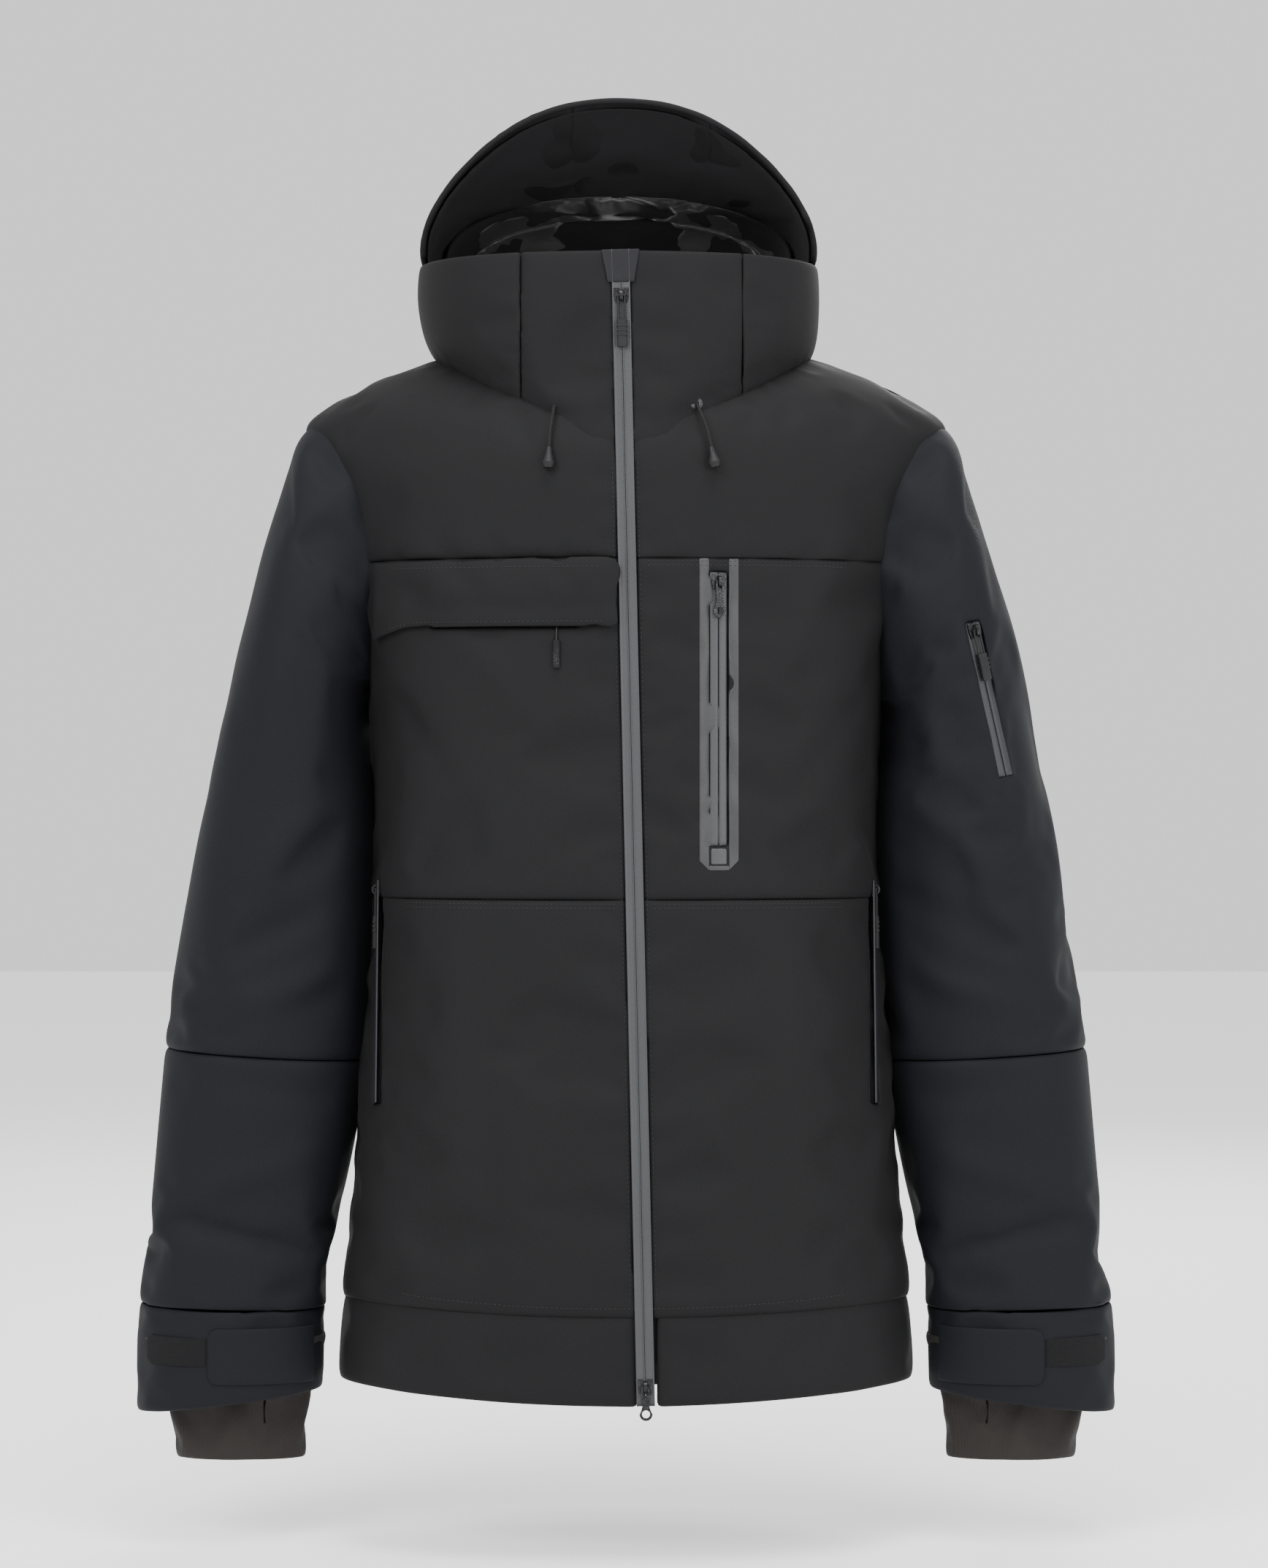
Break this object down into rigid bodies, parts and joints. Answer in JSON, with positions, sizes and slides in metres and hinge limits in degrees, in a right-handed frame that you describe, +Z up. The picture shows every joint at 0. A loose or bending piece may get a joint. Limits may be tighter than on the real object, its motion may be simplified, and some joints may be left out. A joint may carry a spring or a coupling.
{
  "type": "ski jacket",
  "caption": "Hooded insulated ski jacket with a full-length front zip, flap and zip pockets, tabbed cuffs and wrist gaiters.",
  "frame": {"origin": "shoulder rest: midway between the shoulders, at the height of the top of the shoulder seams", "axes": "+Z up, the front faces -Y, the wearer's left is +X"},
  "size_m": [0.667, 0.2452, 0.9148],
  "materials": {
    "shell": "matt woven",
    "sleeve": "matt woven",
    "lining": "satin",
    "facing": "brushed",
    "gaiter": "knitted",
    "zip": "woven tape with plastic coil",
    "trim": "bonded film",
    "metal": "black lacquer",
    "grip": "matt",
    "cord": "braided"
  },
  "bodies": {
    "jacket": {"front_yoke_left": "shell", "front_yoke_right": "shell", "front_chest_left": "shell", "front_chest_right": "shell", "front_lower_left": "shell", "front_lower_right": "shell", "back_yoke": "shell", "back_panel": "shell", "hem_band": "shell", "body_lining": "lining", "collar_front_left": "shell", "collar_front_right": "shell", "collar_back": "shell", "inner_collar": "facing", "zip_tape_left": "zip", "zip_tape_right": "zip", "zip_garage": "trim", "wind_flap": "facing", "chest_pocket_frame": "trim", "chest_zip": "zip", "flap_zip": "zip", "hand_zip_left": "zip", "hand_zip_right": "zip", "pocket_bags": "lining", "eyelets": "metal", "drawcord_left": "cord", "drawcord_right": "cord", "cord_end_left": "grip", "cord_end_right": "grip", "hanger_loop": "cord"},
    "hood": {"hood_side_left": "shell", "hood_side_right": "shell", "hood_centre": "shell", "hood_lining": "lining", "brim_facing": "facing"},
    "top_slider": {"top_slider": "metal"},
    "top_pull": {"top_pull": "grip"},
    "hem_slider": {"hem_slider": "metal"},
    "hem_pull": {"hem_pull": "metal"},
    "chest_slider": {"chest_slider": "metal"},
    "chest_pull": {"chest_pull": "metal"},
    "chest_flap": {"chest_flap": "shell"},
    "flap_slider": {"flap_slider": "metal"},
    "hand_slider_left": {"hand_slider_left": "metal", "hand_pull_left": "grip"},
    "hand_slider_right": {"hand_slider_right": "metal", "hand_pull_right": "grip"},
    "sleeve_left": {"sleeve_upper_left": "sleeve", "sleeve_zip": "zip"},
    "sleeve_right": {"sleeve_upper_right": "sleeve"},
    "forearm_left": {"sleeve_lower_left": "sleeve", "cuff_left": "sleeve", "wrist_gaiter_left": "gaiter"},
    "forearm_right": {"sleeve_lower_right": "sleeve", "cuff_right": "sleeve", "wrist_gaiter_right": "gaiter"},
    "cuff_tab_left": {"cuff_tab_left": "sleeve"},
    "cuff_tab_right": {"cuff_tab_right": "sleeve"},
    "sleeve_slider": {"sleeve_slider": "metal"},
    "sleeve_pull": {"sleeve_pull": "grip"}
  },
  "joints": [
    {"name": "hood_tilt", "type": "hinge", "parent": "jacket", "child": "hood", "pos_m": [0, 0.099, 0.02], "axis": [-1, 0, 0], "range_deg": [0, 35]},
    {"name": "main_zip_top", "type": "slide", "parent": "jacket", "child": "top_slider", "axis": [0.0222, -0.0184, -0.9996], "range_m": [0, 0.38]},
    {"name": "top_pull_swing", "type": "hinge", "parent": "top_slider", "child": "top_pull", "pos_m": [-0.00293, -0.11311, 0.03556], "axis": [-0.9998, 0, -0.0222], "range_deg": [0, 150]},
    {"name": "main_zip_hem", "type": "slide", "parent": "jacket", "child": "hem_slider", "axis": [-0.0222, 0.0184, 0.9996], "range_m": [0, 0.22]},
    {"name": "hem_pull_swing", "type": "hinge", "parent": "hem_slider", "child": "hem_pull", "pos_m": [0.01299, -0.12629, -0.68196], "axis": [-0.9998, 0, -0.0222], "range_deg": [0, 150]},
    {"name": "chest_zip_slide", "type": "slide", "parent": "jacket", "child": "chest_slider", "axis": [0, -0.0216, -0.9998], "range_m": [0, 0.16]},
    {"name": "chest_pull_swing", "type": "hinge", "parent": "chest_slider", "child": "chest_pull", "pos_m": [0.06208, -0.11127, -0.15294], "axis": [-0.9741, -0.2263, 0.0049], "range_deg": [0, 150]},
    {"name": "chest_flap_lift", "type": "hinge", "parent": "jacket", "child": "chest_flap", "pos_m": [-0.088, -0.1073, -0.1395], "axis": [-0.9511, 0.309, 0], "range_deg": [0, 80]},
    {"name": "flap_zip_slide", "type": "hinge", "parent": "jacket", "child": "flap_slider", "pos_m": [-0.01967, 0.13388, -0.176], "axis": [0, 0, -1], "range_deg": [0, 18]},
    {"name": "hand_zip_slide_left", "type": "slide", "parent": "jacket", "child": "hand_slider_left", "axis": [0.0036, -0.1252, -0.9921], "range_m": [0, 0.115]},
    {"name": "hand_zip_slide_right", "type": "slide", "parent": "jacket", "child": "hand_slider_right", "axis": [-0.0036, -0.1252, -0.9921], "range_m": [0, 0.115]},
    {"name": "shoulder_lift_left", "type": "hinge", "parent": "jacket", "child": "sleeve_left", "pos_m": [0.224, 0, -0.046], "axis": [0, -1, 0], "range_deg": [0, 45]},
    {"name": "elbow_bend_left", "type": "hinge", "parent": "sleeve_left", "child": "forearm_left", "pos_m": [0.2475, -0.0595, -0.47], "axis": [-0.9982, 0, -0.0605], "range_deg": [0, 45], "stiffness_Nm_per_rad": 0.5, "springref_deg": -22.92},
    {"name": "cuff_tab_left", "type": "hinge", "parent": "forearm_left", "child": "cuff_tab_left", "pos_m": [0.2125, -0.03437, -0.671], "axis": [0, 0, -1], "range_deg": [0, 80]},
    {"name": "shoulder_lift_right", "type": "hinge", "parent": "jacket", "child": "sleeve_right", "pos_m": [-0.224, 0, -0.046], "axis": [0, 1, 0], "range_deg": [0, 45]},
    {"name": "elbow_bend_right", "type": "hinge", "parent": "sleeve_right", "child": "forearm_right", "pos_m": [-0.2475, -0.0595, -0.47], "axis": [-0.9982, 0, 0.0605], "range_deg": [0, 45], "stiffness_Nm_per_rad": 0.5, "springref_deg": -22.92},
    {"name": "cuff_tab_right", "type": "hinge", "parent": "forearm_right", "child": "cuff_tab_right", "pos_m": [-0.2125, -0.03437, -0.671], "axis": [0, 0, 1], "range_deg": [0, 80]},
    {"name": "sleeve_zip_slide", "type": "slide", "parent": "sleeve_left", "child": "sleeve_slider", "axis": [0.2229, 0.0682, -0.9724], "range_m": [0, 0.09]},
    {"name": "sleeve_pull_swing", "type": "hinge", "parent": "sleeve_slider", "child": "sleeve_pull", "pos_m": [0.23447, -0.06998, -0.1837], "axis": [-0.8382, -0.496, -0.2269], "range_deg": [0, 150]}
  ]
}
